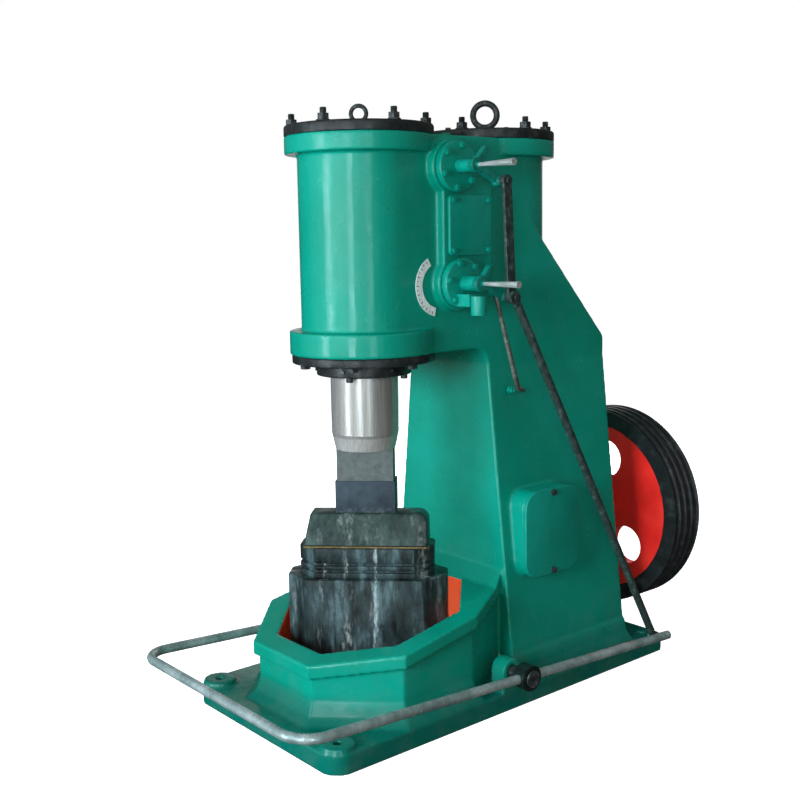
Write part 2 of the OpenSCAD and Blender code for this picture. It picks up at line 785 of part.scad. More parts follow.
// Long rod from the treadle's rear arm up to the lower crank's pin
module pedal_rod() color("darkslategray") {
    head = [rod_eye_x + rod_eye_t / 2, rod_head[0], rod_head[1]];
    foot = [rod_foot_x + rod_eye_t / 2, rod_foot[0], rod_foot[1]];
    lean = head - foot;
    difference() {
        union() {
            translate(foot) rotate([0, acos(lean[2] / norm(lean)), atan2(lean[1], lean[0])])
                cylinder(h = norm(lean), d = rod_d);
            translate([rod_eye_x, rod_head[0], rod_head[1]]) along_x(rod_eye_t, head_eye_d);
            translate([rod_foot_x, rod_foot[0], rod_foot[1]]) along_x(rod_eye_t, eye_d);
        }
        for (end = [[rod_eye_x, rod_head, open_slip, head_eye_d], [rod_foot_x, rod_foot, slip, eye_d]])
            translate([end[0], end[1][0], end[1][1]]) {
                translate([-overrun, 0, 0]) along_x(rod_eye_t + 2 * overrun, pin_d + 2 * end[2]);
                for (x = [-eye_d, rod_eye_t]) translate([x, 0, 0]) along_x(eye_d, end[3] + 4 * link_gap);
            }
    }
}

// Bent foot bar with two hubs and one long rear arm
module treadle() color("gray") translate([0, pivot_y, pivot_z]) rotate([-treadle_rise, 0, 0]) {
    front = treadle_front + pivot_y;
    bend_x = treadle_x - treadle_bend_r;
    translate([-bend_x, -front, 0]) along_x(2 * bend_x, treadle_d);
    for (s = [-1, 1]) mirror([s < 0 ? 1 : 0, 0, 0]) {
        translate([bend_x, -front + treadle_bend_r, 0]) rotate(-90) rotate_extrude(angle = 90)
            translate([treadle_bend_r, 0]) circle(d = treadle_d);
        translate([treadle_x, -front + treadle_bend_r, 0])
            along_y(front - treadle_bend_r - pivot_d / 2 - link_gap, treadle_d, treadle_d);
        difference() {
            translate([hub_in_x, 0, 0]) along_x(treadle_hub_l, treadle_hub_d);
            translate([hub_in_x - overrun, 0, 0]) along_x(treadle_hub_l + 2 * overrun, pivot_d + 2 * slip);
        }
    }
    translate([treadle_x, pivot_d / 2 + link_gap, 0])
        along_y(rear_arm_l - pivot_d / 2 - link_gap, treadle_d, treadle_d);
    // Pin that carries the pedal rod's eye
    translate([rod_foot_x - link_gap - pin_head_t, rod_pin_l, 0])
        along_x(treadle_x - rod_foot_x + link_gap + pin_head_t, pin_d);
    translate([rod_foot_x - link_gap - pin_head_t, rod_pin_l, 0]) along_x(pin_head_t, pin_head_d);
}

module pivot_pin() {
    pin_l = hub_in_x + treadle_hub_l - base_w / 2 + lug_seat + link_gap;
    translate([base_w / 2 - lug_seat, pivot_y, pivot_z]) {
        along_x(pin_l, pivot_d);
        translate([pin_l, 0, 0]) along_x(pin_head_t, treadle_hub_d * 2 / 3);
    }
}

module right_pivot_pin() color("dimgray") pivot_pin();

module left_pivot_pin() color("dimgray") mirror([1, 0, 0]) pivot_pin();

module hatch_cover() color("seagreen") translate([hatch_face - hatch_t, hatch_y, hatch_z])
    rotate([90, 0, 90]) linear_extrude(hatch_t) rounded(hatch_w, hatch_h, hatch_r);

module bearing_cap() color("seagreen") translate([0, column_rear, shaft_z]) difference() {
    along_y(cap_t, cap_d, cap_d);
    translate([0, -overrun, 0]) along_y(cap_t + 2 * overrun, shaft_d + 2 * slip, shaft_d + 2 * slip);
}

module crankshaft() color("silver") translate([0, column_rear - cap_t + slip, shaft_z])
    along_y(wheel_back - column_rear + cap_t, shaft_d, shaft_d);

// Grooved rim, thin web with round holes, and hub
module flywheel() color("firebrick") translate([0, wheel_front, shaft_z]) rotate([-90, 0, 0]) difference() {
    pitch = wheel_w / groove_n;
    rim_r = wheel_d / 2;
    rotate_extrude() difference() {
        union() {
            translate([rim_r - rim_t, 0]) square([rim_t, wheel_w]);
            translate([0, web_in]) square([rim_r - rim_t / 2, web_t]);
            square([wheel_hub_d / 2, wheel_w]);
        }
        translate([-overrun, -overrun]) square([shaft_d / 2 + seat_gap + overrun, wheel_w + 2 * overrun]);
        for (i = [0 : groove_n - 1]) translate([rim_r, (i + 0.5) * pitch]) polygon([
            [overrun, -pitch / 3], [-groove_h, -pitch / 8], [-groove_h, pitch / 8], [overrun, pitch / 3]
        ]);
    }
    for (i = [0 : web_hole_n - 1]) rotate(i * 2 * half_turn / web_hole_n + web_hole_turn)
        translate([web_hole_r, 0, -overrun]) cylinder(h = wheel_w + 2 * overrun, d = web_hole_d);
}

module shaft_nut() color("dimgray") translate([0, wheel_back + slip, shaft_z])
    along_y(cap_t / 2, shaft_d * 1.2, shaft_d * 1.2);

// Round plug on the web between the two covers
module frame_plug() color("silver") {
    reach = flange_d / 2 + eye_d / 2 + plug_gap;
    plug_x = sqrt(max(0, reach * reach - cylinder_pitch * cylinder_pitch / 4));
    translate([plug_x, cylinder_pitch / 2, top_z]) cylinder(h = seat_h, d = eye_d);
}

frame_casting();
front_cylinder_cover();
rear_cylinder_cover();
front_eyebolt();
rear_eyebolt();
gland_plate();
gland_ring();
ram();
upper_die();
lower_die();
die_shim();
sow_block();
anvil_block();
upper_valve_cover();
lower_valve_cover();
valve_chest_cover();
upper_valve_spindle();
lower_valve_spindle();
upper_crank();
lower_crank();
valve_stop();
hand_lever();
valve_link();
pedal_rod();
treadle();
right_pivot_pin();
left_pivot_pin();
hatch_cover();
bearing_cap();
crankshaft();
flywheel();
shaft_nut();
frame_plug();
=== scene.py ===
"""Looks of an air forging hammer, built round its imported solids. Lengths are metres."""
import math

import bmesh
import bpy
from mathutils import Matrix, Vector


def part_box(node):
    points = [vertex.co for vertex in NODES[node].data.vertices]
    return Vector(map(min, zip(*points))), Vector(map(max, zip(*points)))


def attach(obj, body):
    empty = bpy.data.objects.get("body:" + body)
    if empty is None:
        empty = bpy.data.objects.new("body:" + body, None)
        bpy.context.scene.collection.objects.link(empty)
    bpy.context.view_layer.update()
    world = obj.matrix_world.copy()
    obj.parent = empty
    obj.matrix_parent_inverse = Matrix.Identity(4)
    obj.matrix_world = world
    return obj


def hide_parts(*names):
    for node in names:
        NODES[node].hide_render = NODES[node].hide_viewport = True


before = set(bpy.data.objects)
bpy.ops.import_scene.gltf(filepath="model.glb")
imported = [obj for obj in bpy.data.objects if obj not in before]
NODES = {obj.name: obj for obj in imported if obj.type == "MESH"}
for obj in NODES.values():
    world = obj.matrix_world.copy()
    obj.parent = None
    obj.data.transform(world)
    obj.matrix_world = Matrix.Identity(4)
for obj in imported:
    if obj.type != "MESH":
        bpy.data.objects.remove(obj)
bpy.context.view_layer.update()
TINY, WELD = 1e-6, 1e-5
X, Y, Z = Vector((1, 0, 0)), Vector((0, 1, 0)), Vector((0, 0, 1))


# Materials

def srgb(red, green, blue):
    """A display colour of 0 to 255 as linear light."""
    parts = [c / 255 for c in (red, green, blue)]
    return tuple(c / 12.92 if c <= 0.04045 else ((c + 0.055) / 1.055) ** 2.4 for c in parts) + (1.0,)


def put(tree, node, socket, value):
    """Links a socket to another node's output, or sets its value."""
    if isinstance(value, bpy.types.NodeSocket):
        tree.links.new(value, node.inputs[socket])
    else:
        node.inputs[socket].default_value = value


def add_node(tree, kind, inputs, out=0, **settings):
    node = tree.nodes.new("ShaderNode" + kind)
    for key, value in settings.items():
        setattr(node, key, value)
    for socket, value in inputs.items():
        put(tree, node, socket, value)
    return node.outputs[out]


class Look:
    """One material and the nodes that feed its shader."""

    def __init__(self, name, **sockets):
        self.mat = bpy.data.materials.new(name)
        self.mat.use_nodes = True
        self.tree = self.mat.node_tree
        self.shader = self.tree.nodes["Principled BSDF"]
        self.places = self.tree.nodes.new("ShaderNodeTexCoord").outputs["Object"]
        for socket, value in sockets.items():
            self.feed(socket.replace("_", " "), value)

    def feed(self, socket, value):
        put(self.tree, self.shader, socket, value)

    def add(self, kind, inputs, out=0, **settings):
        return add_node(self.tree, kind, inputs, out, **settings)

    def noise(self, scale, detail=3.0, rough=0.55, stretch=(1, 1, 1), shift=(0, 0, 0)):
        where = self.add("Mapping", {"Vector": self.places, "Scale": stretch, "Location": shift})
        return self.add("TexNoise", {"Vector": where, "Scale": scale, "Detail": detail, "Roughness": rough})

    def part(self, axis):
        return self.add("SeparateXYZ", {"Vector": self.places}, out="XYZ".index(axis))

    def calc(self, how, a, b=0.0):
        return self.add("Math", {0: a, 1: b}, operation=how, use_clamp=how in ("MULTIPLY", "SUBTRACT"))

    def times(self, a, b):
        return self.calc("MULTIPLY", a, b)

    def reach(self, a, b):
        """The distance that two offsets at right angles make."""
        return self.calc("SQRT", self.calc("ADD", self.calc("POWER", a, 2.0), self.calc("POWER", b, 2.0)))

    def band(self, value, low, high):
        """0 below low and 1 above high, or the other way round where low is the larger."""
        return self.add("MapRange", {"Value": value, "From Min": low, "From Max": high})

    def span(self, value, low, high):
        """A noise value spread over low to high."""
        return self.add("MapRange", {"Value": value, "From Min": 0.3, "From Max": 0.7, "To Min": low, "To Max": high})

    def ramp(self, value, *stops):
        node = self.tree.nodes.new("ShaderNodeValToRGB")
        put(self.tree, node, "Fac", value)
        marks = node.color_ramp.elements
        while len(marks) < len(stops):
            marks.new(0.5)
        for mark, (place, colour) in zip(marks, stops):
            mark.position = place
            mark.color = colour
        return node.outputs["Color"]

    def mix(self, share, first, second):
        return self.add("Mix", {0: share, 6: first, 7: second}, out=2, data_type="RGBA")

    def relief(self, *layers):
        """Bump from (height socket, depth in metres) pairs."""
        normal = None
        for height, depth in layers:
            inputs = {"Height": height, "Strength": 1.0, "Distance": depth}
            if normal is not None:
                inputs["Normal"] = normal
            normal = self.add("Bump", inputs)
        self.feed("Normal", normal)

    def finish(self, colour, roughness):
        self.feed("Base Color", colour)
        self.feed("Roughness", roughness)
        return self.mat


def enamel(name, deep, middle, light, floor_dirt_and_shade=0.0):
    """Brushed gloss paint on a rough casting; near the floor, when asked for, dirt and a painted shade."""
    look = Look(name, Specular_IOR_Level=0.5)
    broad = look.noise(2.6, 4.0)
    colour = look.ramp(broad, (0.32, deep), (0.5, middle), (0.68, light))
    runs = look.noise(26.0, 3.0, stretch=(1, 1, 0.16))
    colour = look.mix(look.span(runs, 0.0, 0.10), colour, deep)
    if floor_dirt_and_shade:
        low = look.band(look.part("Z"), 0.34, 0.02)
        # Painted shade: the green darkens towards the floor, between 0.17 m and 0.05 m up.
        shade = look.band(look.part("Z"), 0.17, 0.05)
        colour = look.mix(look.times(shade, 0.85), colour, srgb(0, 80, 69))
        dirt = look.times(low, look.band(look.noise(9.0, 6.0, 0.65), 0.46, 0.76))
        colour = look.mix(look.times(dirt, floor_dirt_and_shade), colour, srgb(84, 112, 96))
    rough = look.span(look.noise(14.0, 4.0), 0.17, 0.30)
    look.relief((look.noise(6.0, 3.0), 0.0028), (look.noise(30.0, 3.0), 0.0006),
                (look.noise(420.0, 2.0), 0.00004))
    return look.finish(colour, rough)


def satin_black(name):
    """Black paint on turned covers, dusty and rubbed in places."""
    look = Look(name, Specular_IOR_Level=0.5)
    dust = look.noise(21.0, 6.0, 0.62)
    colour = look.ramp(dust, (0.30, srgb(17, 20, 20)), (0.55, srgb(30, 34, 33)), (0.78, srgb(58, 64, 60)))
    rubbed = look.band(look.noise(75.0, 5.0, 0.7), 0.66, 0.74)
    colour = look.mix(look.times(rubbed, 0.5), colour, srgb(104, 108, 104))
    look.relief((look.noise(60.0, 4.0), 0.0006), (look.noise(460.0, 2.0), 0.0001))
    return look.finish(colour, look.span(look.noise(30.0, 4.0), 0.22, 0.44))


RAM_FOOT, RAM_TAPER = 0.891, 0.935


def ram_steel(name):
    """Ground ram with fine lines down its length, a taper that mirrors less and a duller flattened end."""
    look = Look(name)
    lines = look.noise(210.0, 3.0, stretch=(1, 1, 0.035))
    broad = look.noise(9.0, 3.0, stretch=(1, 1, 0.3))
    bright = look.ramp(lines, (0.28, srgb(158, 157, 150)), (0.5, srgb(176, 175, 168)),
                       (0.74, srgb(190, 189, 183)))
    oil = look.times(look.band(look.part("Z"), 0.99, 0.90), look.band(broad, 0.40, 0.70))
    bright = look.mix(look.times(oil, 0.12), bright, srgb(112, 104, 88))
    scale = look.noise(38.0, 6.0, 0.65)
    dull = look.ramp(scale, (0.3, srgb(88, 94, 92)), (0.55, srgb(108, 115, 112)), (0.75, srgb(122, 128, 125)))
    end = look.band(look.part("Z"), RAM_FOOT + 0.001, RAM_FOOT - 0.001)
    taper = look.calc("SUBTRACT", look.band(look.part("Z"), RAM_TAPER + 0.01, RAM_TAPER - 0.01), end)
    look.feed("Metallic", look.span(taper, 0.7, 0.50))
    look.relief((lines, 0.00004), (look.noise(38.0, 4.0), 0.0001))
    rough = look.calc("ADD", look.span(broad, 0.24, 0.34), look.times(end, 0.26))
    return look.finish(look.mix(end, bright, dull), rough)


def slate_steel(name, face):
    """Hardened upper die: blue-grey and even, with a worn striking edge."""
    look = Look(name, Metallic=0.55)
    cloud = look.noise(24.0, 6.0, 0.6)
    colour = look.ramp(cloud, (0.3, srgb(44, 54, 60)), (0.52, srgb(56, 68, 75)), (0.75, srgb(70, 82, 88)))
    edge = look.times(look.band(look.part("Z"), face + 0.02, face),
                      look.band(look.noise(55.0, 5.0), 0.42, 0.6))
    colour = look.mix(look.times(edge, 0.6), colour, srgb(128, 134, 134))
    look.relief((look.noise(90.0, 5.0), 0.0005), (look.noise(18.0, 3.0), 0.001))
    return look.finish(colour, look.span(cloud, 0.42, 0.62))


def forge_steel(name, dark, middle, pale, streak, painted_highlight):
    """Oily, scaled steel with grease runs and pale smears down its sides, and one pale upright line, a painted
    highlight, where the last argument is over 0.
    """
    look = Look(name, Metallic=0.35)
    cloud = look.noise(15.0, 8.0, 0.66, stretch=(1, 1, 0.3))
    colour = look.ramp(cloud, (0.34, dark), (0.5, middle), (0.66, pale))
    runs = look.noise(30.0, 5.0, 0.6, stretch=(1, 1, 0.11))
    colour = look.mix(look.times(look.band(runs, 0.52, 0.66), 0.85), colour, dark)
    smears = look.times(look.band(look.noise(17.0, 4.0, 0.6, (1, 1, 0.14), (4, 2, 1)), 0.56, 0.70),
                        look.band(look.noise(85.0, 4.0, 0.7, (1, 1, 0.4)), 0.42, 0.62))
    colour = look.mix(look.times(smears, streak), colour, srgb(188, 196, 190))
    # Painted highlight: a narrow pale upright line at one place across the faces; the die gets none.
    along = look.calc("ADD", look.part("X"), look.part("Y"))
    wander = look.span(look.noise(16.0, 4.0, 0.6, (1, 1, 0.5)), -0.062, -0.030)
    off = look.calc("ABSOLUTE", look.calc("ADD", along, wander))
    highlight_line = look.times(look.band(off, 0.011, 0.003),
                     look.band(look.noise(60.0, 4.0, 0.7, (1, 1, 0.3)), 0.40, 0.66))
    colour = look.mix(look.times(highlight_line, painted_highlight), colour, srgb(176, 194, 192))
    flakes = look.band(look.noise(150.0, 4.0, 0.7), 0.665, 0.70)
    colour = look.mix(look.times(flakes, 0.25), colour, srgb(205, 208, 200))
    look.relief((look.noise(26.0, 6.0, 0.6), 0.0022), (look.noise(190.0, 4.0), 0.0004))
    return look.finish(colour, look.span(look.noise(20.0, 5.0), 0.28, 0.58))


def shim_brass(name):
    look = Look(name, Metallic=1.0)
    tarnish = look.noise(60.0, 5.0, 0.65)
    colour = look.ramp(tarnish, (0.3, srgb(104, 86, 54)), (0.52, srgb(164, 140, 92)),
                       (0.75, srgb(192, 172, 124)))
    look.relief((tarnish, 0.0003))
    return look.finish(colour, look.span(tarnish, 0.30, 0.48))


PIVOT = sum(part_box("right_pivot_pin"), Vector()) / 2
HUB_R = 0.0435


def bare_pipe(name):
    """Bent steel pipe with a thin greenish wash and rubbed bright places, and painted shade round its pivots."""
    look = Look(name, Metallic=0.6)
    cloud = look.noise(11.0, 6.0, 0.62)
    colour = look.ramp(cloud, (0.3, srgb(108, 130, 124)), (0.5, srgb(152, 172, 168)),
                       (0.7, srgb(196, 210, 207)))
    rubbed = look.band(look.noise(70.0, 5.0, 0.7), 0.58, 0.70)
    colour = look.mix(look.times(rubbed, 0.6), colour, srgb(206, 210, 204))
    # Painted shade: the pipe goes dark round the pivot hubs, by the distance from the pivot's axis.
    along = look.calc("ADD", look.part("Y"), -PIVOT.y)
    height = look.calc("ADD", look.part("Z"), -PIVOT.z)
    hub = look.band(look.reach(along, height), HUB_R + 0.0045, HUB_R)
    black = look.ramp(cloud, (0.3, srgb(22, 34, 31)), (0.6, srgb(40, 56, 51)))
    colour = look.mix(hub, colour, black)
    look.relief((look.noise(120.0, 4.0), 0.0003), (look.noise(16.0, 3.0), 0.0012))
    return look.finish(colour, look.span(look.noise(34.0, 4.0), 0.20, 0.36))


def dark_metal(name, dark, middle, worn, metallic):
    """Black-finished steel, worn grey where it is handled."""
    look = Look(name, Metallic=metallic)
    cloud = look.noise(48.0, 6.0, 0.65)
    colour = look.ramp(cloud, (0.32, dark), (0.55, middle), (0.74, worn))
    look.relief((look.noise(170.0, 4.0), 0.0003))
    return look.finish(colour, look.span(look.noise(60.0, 4.0), 0.30, 0.50))


RED_REACH = 0.334


def wheel_paint(name, centre_z):
    """Black rim round a red web, told apart by the distance from the shaft."""
    look = Look(name, Coat_Weight=0.15, Coat_Roughness=0.2, Specular_IOR_Level=0.5)
    height = look.calc("ADD", look.part("Z"), -centre_z)
    wander = look.span(look.noise(30.0, 3.0), -0.0012, 0.0012)
    radius = look.calc("ADD", look.reach(look.part("X"), height), wander)
    rim = look.band(radius, RED_REACH, RED_REACH + 0.002)
    red = look.ramp(look.noise(8.0, 5.0), (0.32, srgb(226, 38, 32)), (0.5, srgb(243, 44, 37)),
                    (0.7, srgb(250, 58, 46)))
    red = look.mix(look.band(look.noise(190.0, 3.0), 0.66, 0.72), red, srgb(170, 40, 32))
    black = look.ramp(look.noise(26.0, 6.0, 0.65), (0.3, srgb(20, 22, 23)), (0.55, srgb(34, 37, 38)),
                      (0.76, srgb(72, 76, 76)))
    look.relief((look.noise(12.0, 3.0), 0.002), (look.noise(210.0, 3.0), 0.0002))
    return look.finish(look.mix(rim, red, black), look.span(look.noise(22.0, 4.0), 0.30, 0.46))


BARE_FROM = 0.352


def part_painted(name, deep, middle, bare_dark, bare_pale, metallic):
    """Green paint that stops at a distance from the machine's middle, with another finish beyond it."""
    look = Look(name, Specular_IOR_Level=0.5)
    paint = look.ramp(look.noise(40.0, 5.0), (0.32, deep), (0.66, middle))
    worn = look.band(look.noise(95.0, 5.0, 0.7), 0.63, 0.70)
    paint = look.mix(look.times(worn, 0.45), paint, srgb(120, 150, 138))
    steel = look.ramp(look.noise(160.0, 4.0, 0.6, (0.1, 1, 1)), (0.3, bare_dark), (0.7, bare_pale))
    across = look.calc("ADD", look.part("X"), look.span(look.noise(60.0), -0.002, 0.002))
    bare = look.band(across, BARE_FROM, BARE_FROM + 0.003)
    look.feed("Metallic", look.times(bare, metallic))
    look.relief((look.noise(60.0, 4.0), 0.0008), (look.noise(330.0, 2.0), 0.0001))
    return look.finish(look.mix(bare, paint, steel), look.span(look.noise(50.0, 4.0), 0.26, 0.42))


def brushed_plate(name):
    look = Look(name, Metallic=0.25)
    lines = look.noise(240.0, 3.0, stretch=(1, 1, 0.05))
    colour = look.ramp(lines, (0.3, srgb(196, 202, 198)), (0.7, srgb(232, 236, 232)))
    grime = look.band(look.noise(70.0, 5.0, 0.7), 0.56, 0.72)
    colour = look.mix(look.times(grime, 0.5), colour, srgb(120, 140, 132))
    look.relief((lines, 0.0001))
    return look.finish(colour, look.span(lines, 0.34, 0.5))


DEEP, MIDDLE, LIGHT = srgb(0, 113, 91), srgb(0, 121, 100), srgb(2, 129, 109)
GREEN = enamel("green_enamel", DEEP, MIDDLE, LIGHT, floor_dirt_and_shade=0.3)
GREEN_PARTS = enamel("green_fittings", srgb(0, 112, 93), srgb(2, 123, 104), srgb(5, 132, 114))
ORANGE = enamel("orange_primer", srgb(196, 66, 34), srgb(206, 76, 42), srgb(214, 92, 56))
BLACK = satin_black("satin_black")
RAM = ram_steel("ground_steel")
SLATE = slate_steel("die_slate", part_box("upper_die")[0].z)
DIE = forge_steel("die_worn", srgb(24, 37, 34), srgb(46, 63, 58), srgb(68, 87, 79), 0.3, 0.0)
ANVIL = forge_steel("anvil_oily", srgb(11, 17, 17), srgb(39, 54, 54), srgb(86, 109, 110), 0.7, 0.85)
BRASS = shim_brass("brass_tarnished")
PIPE = bare_pipe("treadle_pipe")
ROD = dark_metal("rod_black", srgb(30, 42, 39), srgb(49, 65, 60), srgb(96, 112, 106), 0.3)
BOLT = dark_metal("bolt_black", srgb(30, 33, 33), srgb(58, 63, 62), srgb(116, 122, 118), 0.4)
WHEEL = wheel_paint("wheel_red_black", sum(c.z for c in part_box("flywheel")) / 2)
LEVER = part_painted("green_lever", srgb(0, 108, 89), srgb(4, 130, 113), srgb(140, 146, 142), srgb(214, 216, 212), 0.6)
# Painted shade: the cranks' green is darker than the levers', for the shadow the arms hang in; their ends are dark
# steel.
SHADED_CRANK = part_painted("green_crank_shaded", srgb(0, 88, 73), srgb(2, 106, 92), srgb(24, 30, 29), srgb(62, 70, 67), 0.3)
BAR = dark_metal("bar_grey", srgb(66, 74, 66), srgb(108, 116, 104), srgb(168, 176, 164), 0.4)
PLATE = brushed_plate("plate_brushed")


# Mesh helpers

def new_object(name, mesh, material):
    mesh.materials.clear()
    mesh.materials.append(material)
    piece = bpy.data.objects.new(name, mesh)
    bpy.context.scene.collection.objects.link(piece)
    return piece


def baked(piece):
    """The piece's mesh with its modifiers applied."""
    view = bpy.context.evaluated_depsgraph_get()
    old = piece.data
    piece.data = bpy.data.meshes.new_from_object(piece.evaluated_get(view))
    piece.modifiers.clear()
    bpy.data.meshes.remove(old)
    return piece.data


def smooth(mesh, angle):
    for face in mesh.polygons:
        face.use_smooth = True
    mesh.set_sharp_from_angle(angle=math.radians(angle))


def welded(node, name):
    """A copy of a CAD node's mesh with its flat faces joined up."""
    bm = bmesh.new()
    bm.from_mesh(NODES[node].data)
    bmesh.ops.remove_doubles(bm, verts=bm.verts, dist=WELD)
    bmesh.ops.dissolve_limit(bm, angle_limit=math.radians(0.4), verts=bm.verts, edges=bm.edges)
    mesh = bpy.data.meshes.new(name)
    bm.to_mesh(mesh)
    bm.free()
    return mesh


def stand_in(piece, node, body):
    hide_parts(node)
    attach(piece, body)
    return piece


def bevelled(node, body, material, width, segments=3, angle=35):
    """Shows a node through a copy with broken edges."""
    piece = new_object(node + "_edged", welded(node, node + "_edged"), material)
    edge = piece.modifiers.new("edge", "BEVEL")
    edge.width, edge.segments = width, segments
    edge.limit_method, edge.angle_limit = "ANGLE", math.radians(angle)
    edge.use_clamp_overlap = True
    smooth(baked(piece), 30)
    return stand_in(piece, node, body)


def thickened(node, body, material, more, clear):
    """Shows a bar through a stouter copy that keeps its own size near its upper end."""
    mesh = bpy.data.meshes.new(node + "_stout")
    bm = bmesh.new()
    bm.from_mesh(NODES[node].data)
    bmesh.ops.remove_doubles(bm, verts=bm.verts, dist=WELD)
    bm.normal_update()
    top = max(vertex.co.z for vertex in bm.verts)
    for vertex in bm.verts:
        vertex.co += vertex.normal * more * min(1.0, max(0.0, (top - vertex.co.z) / clear - 1.0))
    bm.to_mesh(mesh)
    bm.free()
    smooth(mesh, 40)
    return stand_in(new_object(node + "_stout", mesh, material), node, body)


def cast(node, body, material, voxel, rounds, most):
    """Shows a node through a copy with the soft edges and corners of a sand casting."""
    piece = new_object(node + "_cast", welded(node, node + "_cast"), material)
    skin = piece.modifiers.new("skin", "REMESH")
    skin.mode, skin.voxel_size = "VOXEL", voxel
    soft = piece.modifiers.new("soft", "SMOOTH")
    soft.factor, soft.iterations = 0.5, rounds
    mesh = baked(piece)
    triangles = sum(len(face.vertices) - 2 for face in mesh.polygons)
    if triangles > most:
        fewer = piece.modifiers.new("fewer", "DECIMATE")
        fewer.ratio = most / triangles
        mesh = baked(piece)
    for vertex in mesh.vertices:
        vertex.co.z = max(vertex.co.z, 0.0)
    smooth(mesh, 50)
    return stand_in(piece, node, body)


def facing(axis, at):
    """A matrix that sends +Z along axis, from a point."""
    return Matrix.Translation(at) @ axis.to_track_quat("Z", "Y").to_matrix().to_4x4()


def join_rings(bm, rings):
    for low, high in zip(rings, rings[1:]):
        count = max(len(low), len(high))
        for k in range(count):
            corners = [low[k % len(low)], low[(k + 1) % len(low)], high[(k + 1) % len(high)], high[k % len(high)]]
            bm.faces.new(list(dict.fromkeys(corners)))


def lathe(bm, place, turns, *profile):
    """Turns (radius, height) pairs round +Z of place."""
    rings = []
    for radius, height in profile:
        steps = turns if radius > TINY else 1
        angles = [math.tau * k / steps for k in range(steps)]
        rings.append([bm.verts.new(place @ Vector((radius * math.cos(a), radius * math.sin(a), height)))
                      for a in angles])
    join_rings(bm, rings)


def hexagon(bm, place, across, low, high, turn=0.0):
    """A hexagon nut or head with its corners turned off."""
    half, steps = across / 2, 36
    rings = [[], [], [], [], [], []]
    for k in range(steps):
        angle = math.tau * k / steps
        fold = (angle + math.pi / 6) % (math.pi / 3) - math.pi / 6
        corner = half / math.cos(fold)
        drop = (corner - half) * 0.6
        spin = Vector((math.cos(angle + turn), math.sin(angle + turn), 0))
        for ring, radius, height in zip(rings, (0, half * 0.97, corner, corner, half * 0.95, 0),
                                        (low, low, low + drop, high - drop, high, high)):
            if radius or not ring:
                ring.append(bm.verts.new(place @ (spin * radius + Z * height)))
    join_rings(bm, rings)


def thread(bm, place, diameter, low, high, pitch=0.0025, turns=14):
    """A threaded end with a chamfered tip."""
    outer, root = diameter / 2, diameter / 2 * 0.88
    profile = [(root, low)]
    height = low
    while height + pitch < high - pitch:
        profile += [(outer, height + pitch * 0.5), (root, height + pitch)]
        height += pitch
    profile += [(outer, high - pitch * 0.7), (root * 0.85, high), (0, high)]
    lathe(bm, place, turns, *profile)


def washer(bm, place, diameter, thick):
    radius, edge = diameter / 2, thick * 0.25
    lathe(bm, place, 28, (0, 0), (radius, 0), (radius, thick - edge), (radius - edge, thick), (0, thick))


# Sizes of fasteners as shares of the thread's diameter
WASHER_D, WASHER_T, ACROSS, NUT_T, HEAD_T, SUNK = 2.0, 0.16, 1.55, 0.85, 0.65, 0.05


def stud_and_nut(bm, at, axis, size, stand, turn=0.0):
    """Washer, nut and the stud's end standing out of it."""
    place = facing(axis, at)
    base = size * WASHER_T
    top = base + size * NUT_T
    washer(bm, place, size * WASHER_D, base)
    hexagon(bm, place, size * ACROSS, base, top, turn)
    thread(bm, place, size, top - size * SUNK, top + stand)


def bolt(bm, at, axis, size, turn=0.0, flat=True):
    """Hexagon bolt head, on a washer unless flat is false."""
    place = facing(axis, at)
    base = size * WASHER_T if flat else 0.0
    if flat:
        washer(bm, place, size * WASHER_D, base)
    hexagon(bm, place, size * ACROSS, base, base + size * HEAD_T, turn)


def socket_screw(bm, at, axis, size):
    """Round head with a sunk key hole."""
    head, floor = size * 0.8, size * 0.5
    lathe(bm, facing(axis, at), 24, (0, 0), (head, 0), (head, size * 0.9), (head * 0.92, size), (head * 0.55, size),
          (head * 0.52, floor), (0, floor))


def piece_of(name, material, body, make):
    """One object from what make(bm) draws."""
    bm = bmesh.new()
    make(bm)
    bmesh.ops.recalc_face_normals(bm, faces=bm.faces)
    mesh = bpy.data.meshes.new(name)
    bm.to_mesh(mesh)
    bm.free()
    smooth(mesh, 32)
    piece = new_object(name, mesh, material)
    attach(piece, body)
    return piece


def ring_of(count, first, radius):
    """Two offsets and the angle of each place on a ring, from a first angle in degrees."""
    for k in range(count):
        angle = math.radians(first + 360 * k / count)
        yield radius * math.cos(angle), radius * math.sin(angle), angle


# Castings and forgings

OPENING_REACH, OPENING_TOP, OPENING_BACK = 0.303, 0.46, 0.025


def paint_opening(piece):
    """The inside of the collar is orange."""
    mesh = piece.data
    mesh.materials.append(ORANGE)
    for face in mesh.polygons:
        x, y, z = face.center
        y -= min(max(y, 0.0), OPENING_BACK)
        reach = max(abs(x), abs(y), (abs(x) + abs(y)) / math.sqrt(2))
        inward = face.normal.x * x + face.normal.y * y < 0 and abs(face.normal.z) < 0.5
        if z < OPENING_TOP and reach < OPENING_REACH and inward:
            face.material_index = 1


hammer_frame = cast("frame_casting", "frame", GREEN, voxel=0.005, rounds=5, most=190000)
paint_opening(hammer_frame)

